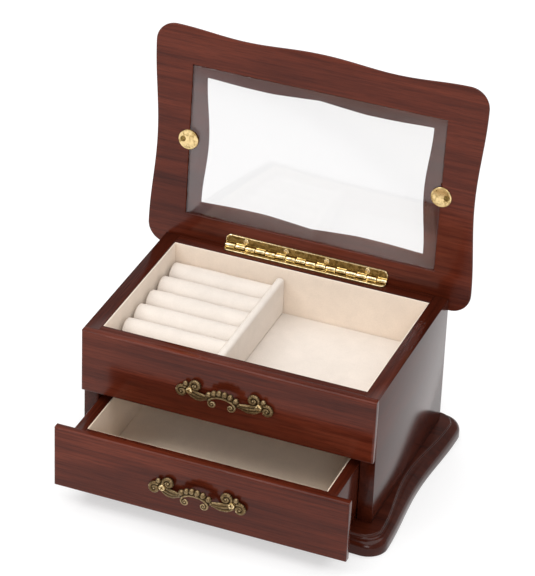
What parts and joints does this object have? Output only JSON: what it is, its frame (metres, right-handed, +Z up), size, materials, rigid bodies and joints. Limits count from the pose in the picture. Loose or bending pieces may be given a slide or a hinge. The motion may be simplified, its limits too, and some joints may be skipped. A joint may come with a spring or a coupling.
{
  "type": "jewellery chest",
  "caption": "Wooden jewellery chest with a hinged glazed lid, a lined tray with ring rolls and an open compartment, a lined drawer below, and a moulded plinth.",
  "frame": {"origin": "centre of the plinth's underside, on the surface that the chest stands on", "axes": "+X to the chest's right as seen from the front, +Y to the back, +Z up"},
  "size_m": [0.251, 0.2271, 0.2826],
  "materials": {
    "mahogany": "high gloss red-brown lacquer over straight grain",
    "velvet": "cream velvet, short nap",
    "gold_brass": "polished, gold plated",
    "antique_brass": "antiqued, dark in the recesses",
    "glass": "clear, polished",
    "steel": "zinc plated"
  },
  "bodies": {
    "case": {"base_plinth": "mahogany", "plinth_screws": "steel", "side_left": "mahogany", "side_right": "mahogany", "back_panel": "mahogany", "front_wall": "mahogany", "false_front": "mahogany", "tray_board": "mahogany", "tray_lining_front": "velvet", "tray_lining_back": "velvet", "tray_lining_left": "velvet", "tray_lining_right": "velvet", "tray_floor_pad": "velvet", "tray_divider": "velvet", "ring_roll_1": "velvet", "ring_roll_2": "velvet", "ring_roll_3": "velvet", "ring_roll_4": "velvet", "ring_roll_5": "velvet", "ring_roll_6": "velvet", "pull_upper": "antique_brass", "pull_upper_screws": "antique_brass", "hinge_leaf_lower": "gold_brass", "hinge_pin": "gold_brass", "hinge_screws_lower": "gold_brass"},
    "lid": {"lid_frame": "mahogany", "glass_pane": "glass", "hinge_leaf_upper": "gold_brass", "hinge_screws_upper": "gold_brass", "retainer_screws": "gold_brass"},
    "retainer_left": {"retainer_left": "gold_brass"},
    "retainer_right": {"retainer_right": "gold_brass"},
    "drawer": {"drawer_front": "mahogany", "drawer_inner_front": "mahogany", "drawer_side_left": "mahogany", "drawer_side_right": "mahogany", "drawer_back": "mahogany", "drawer_bottom": "mahogany", "drawer_lining_front": "velvet", "drawer_lining_back": "velvet", "drawer_lining_left": "velvet", "drawer_lining_right": "velvet", "drawer_floor_pad": "velvet", "pull_lower": "antique_brass", "pull_lower_screws": "antique_brass"}
  },
  "joints": [
    {"name": "lid_hinge", "type": "hinge", "parent": "case", "child": "lid", "pos_m": [0, 0.0742, 0.1188], "axis": [-1, 0, 0], "range_deg": [-94.8, 0]},
    {"name": "drawer_slide", "type": "slide", "parent": "case", "child": "drawer", "axis": [0, -1, 0], "range_m": [-0.0448, 0.0752]},
    {"name": "retainer_left_turn", "type": "hinge", "parent": "lid", "child": "retainer_left", "pos_m": [-0.101, 0.0802, 0.19478], "axis": [0, -0.9981, 0.061], "continuous": true},
    {"name": "retainer_right_turn", "type": "hinge", "parent": "lid", "child": "retainer_right", "pos_m": [0.101, 0.0802, 0.19478], "axis": [0, -0.9981, 0.061], "continuous": true}
  ]
}
